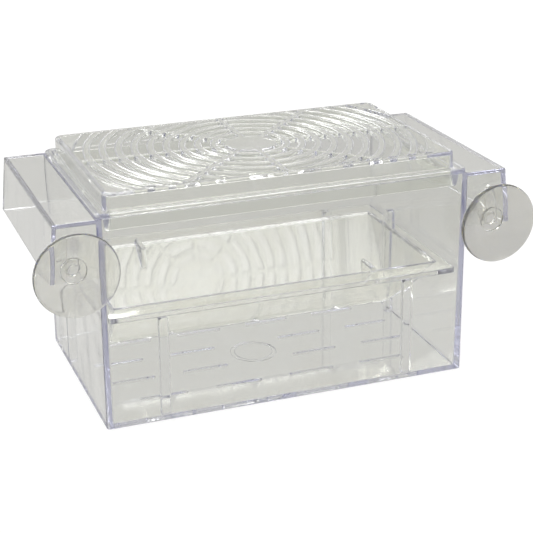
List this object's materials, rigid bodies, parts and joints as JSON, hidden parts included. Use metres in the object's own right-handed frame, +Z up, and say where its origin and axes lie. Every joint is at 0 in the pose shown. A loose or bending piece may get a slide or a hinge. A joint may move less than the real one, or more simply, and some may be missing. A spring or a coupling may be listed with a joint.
{
  "type": "fish breeding box",
  "caption": "Clear floating breeding box: grille lid, V-shaped trap with a bottom slit, slotted floor, open-bottomed side floats and suction cups.",
  "frame": {"origin": "centre of the tank's flat underside", "axes": "+X along the box to the right, +Y to the back, away from the suction cups, +Z up"},
  "size_m": [0.2386, 0.115, 0.11],
  "materials": {
    "clear_polystyrene": "clear, moulded, gloss",
    "soft_clear_pvc": "milky translucent, moulded, satin"
  },
  "bodies": {
    "tank_body": {"tank": "clear_polystyrene"},
    "lid_body": {"lid": "clear_polystyrene"},
    "trap_body": {"breeding_trap": "clear_polystyrene"},
    "cup_left_body": {"suction_cup_left": "soft_clear_pvc"},
    "cup_right_body": {"suction_cup_right": "soft_clear_pvc"}
  },
  "joints": [
    {"name": "lid_lift", "type": "slide", "parent": "tank_body", "child": "lid_body", "axis": [0, 0, 1], "range_m": [0, 0.12]},
    {"name": "trap_lift", "type": "slide", "parent": "tank_body", "child": "trap_body", "axis": [0, 0, 1], "range_m": [0, 0.04]},
    {"name": "cup_left_slide", "type": "slide", "parent": "tank_body", "child": "cup_left_body", "axis": [0, 0, 1], "range_m": [-0.0175, 0.0025]},
    {"name": "cup_right_slide", "type": "slide", "parent": "tank_body", "child": "cup_right_body", "axis": [0, 0, 1], "range_m": [-0.0145, 0.0055]}
  ]
}
